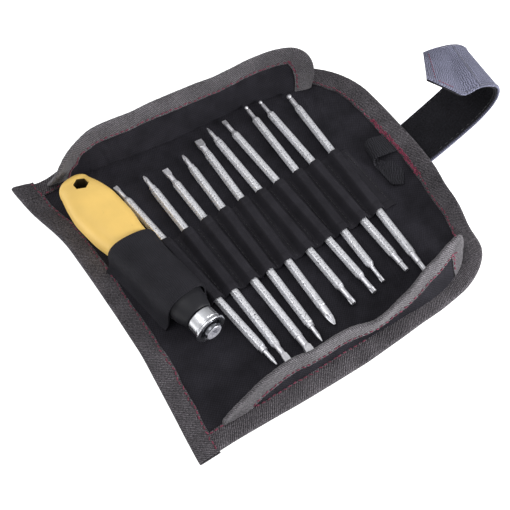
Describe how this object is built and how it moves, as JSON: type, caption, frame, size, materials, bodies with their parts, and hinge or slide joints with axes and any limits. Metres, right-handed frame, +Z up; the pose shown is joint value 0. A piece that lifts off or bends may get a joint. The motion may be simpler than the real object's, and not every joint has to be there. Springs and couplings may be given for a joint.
{
  "type": "precision screwdriver set",
  "caption": "Roll-up cloth pouch opened flat, with tip flaps and a closing strap, holding a row of double-ended hexagonal driver blades and one yellow blade handle.",
  "frame": {"origin": "centre of the panel's flat underside, midway between its long edges", "axes": "+X toward the closing strap, +Y toward the tall top flap, +Z up out of the opened pouch"},
  "size_m": [0.2244, 0.1802, 0.061],
  "materials": {
    "shell_cloth": "woven polyester, matt",
    "lining_cloth": "woven polyester, matt",
    "binding_tape": "twill tape with coloured stitching",
    "strap_webbing": "ribbed webbing",
    "hook_tape": "ribbed black tape",
    "handle_yellow": "satin moulded",
    "handle_black": "satin moulded",
    "chuck_chrome": "polished",
    "blade_steel": "satin, speckled"
  },
  "bodies": {
    "pouch": {"outer_shell": "shell_cloth", "inner_lining": "lining_cloth", "binding_left": "binding_tape", "binding_right": "binding_tape", "binding_top": "binding_tape", "binding_bottom": "binding_tape", "pocket_band": "lining_cloth", "handle_loop": "lining_cloth", "webbing_loop": "hook_tape"},
    "top_flap": {"top_flap": "lining_cloth", "top_flap_binding": "binding_tape"},
    "bottom_flap": {"bottom_flap": "lining_cloth", "bottom_flap_binding": "binding_tape"},
    "strap": {"strap_hook_tape": "hook_tape", "strap_webbing": "strap_webbing"},
    "handle": {"handle_body": "handle_yellow", "handle_nose": "handle_black", "chuck_collar": "chuck_chrome", "chuck_flange": "chuck_chrome", "chuck_face": "handle_black", "chuck_socket": "chuck_chrome"},
    "blade_01": {"blade_01": "blade_steel"},
    "blade_02": {"blade_02": "blade_steel"},
    "blade_03": {"blade_03": "blade_steel"},
    "blade_04": {"blade_04": "blade_steel"},
    "blade_05": {"blade_05": "blade_steel"},
    "blade_06": {"blade_06": "blade_steel"},
    "blade_07": {"blade_07": "blade_steel"},
    "blade_08": {"blade_08": "blade_steel"},
    "blade_09": {"blade_09": "blade_steel"},
    "blade_10": {"blade_10": "blade_steel"}
  },
  "joints": [
    {"name": "top_flap_fold", "type": "hinge", "parent": "pouch", "child": "top_flap", "pos_m": [0, 0.073, 0.0037], "axis": [1, 0, 0], "range_deg": [-45, 20]},
    {"name": "bottom_flap_fold", "type": "hinge", "parent": "pouch", "child": "bottom_flap", "pos_m": [0, -0.079, 0.0037], "axis": [1, 0, 0], "range_deg": [-22, 80]},
    {"name": "strap_fold", "type": "hinge", "parent": "pouch", "child": "strap", "pos_m": [0.0898, 0, 0.0094], "axis": [0, 1, 0], "range_deg": [-60, 6]},
    {"name": "handle_slide", "type": "slide", "parent": "pouch", "child": "handle", "axis": [0.1367, -0.9906, 0], "range_m": [0, 0.008]},
    {"name": "blade_01_slide", "type": "slide", "parent": "pouch", "child": "blade_01", "axis": [0.0975, -0.9952, 0], "range_m": [-0.0103, 0.0068]},
    {"name": "blade_02_slide", "type": "slide", "parent": "pouch", "child": "blade_02", "axis": [0.02, -0.9998, 0], "range_m": [-0.012, 0.0044]},
    {"name": "blade_03_slide", "type": "slide", "parent": "pouch", "child": "blade_03", "axis": [0.018, -0.9998, 0], "range_m": [-0.012, 0.0021]},
    {"name": "blade_04_slide", "type": "slide", "parent": "pouch", "child": "blade_04", "axis": [-0.02, -0.9998, 0], "range_m": [-0.0111, 0.0054]},
    {"name": "blade_05_slide", "type": "slide", "parent": "pouch", "child": "blade_05", "axis": [-0.034, -0.9994, 0], "range_m": [-0.007, 0.0095]},
    {"name": "blade_06_slide", "type": "slide", "parent": "pouch", "child": "blade_06", "axis": [0.009, -1, 0], "range_m": [-0.0026, 0.0139]},
    {"name": "blade_07_slide", "type": "slide", "parent": "pouch", "child": "blade_07", "axis": [0.024, -0.9997, 0], "range_m": [-0.003, 0.0135]},
    {"name": "blade_08_slide", "type": "slide", "parent": "pouch", "child": "blade_08", "axis": [-0.04, -0.9992, 0], "range_m": [-0.0005, 0.014]},
    {"name": "blade_09_slide", "type": "slide", "parent": "pouch", "child": "blade_09", "axis": [-0.002, -1, 0], "range_m": [-0.0015, 0.014]},
    {"name": "blade_10_slide", "type": "slide", "parent": "pouch", "child": "blade_10", "axis": [-0.0639, -0.998, 0], "range_m": [-0.0028, 0.0104]}
  ]
}
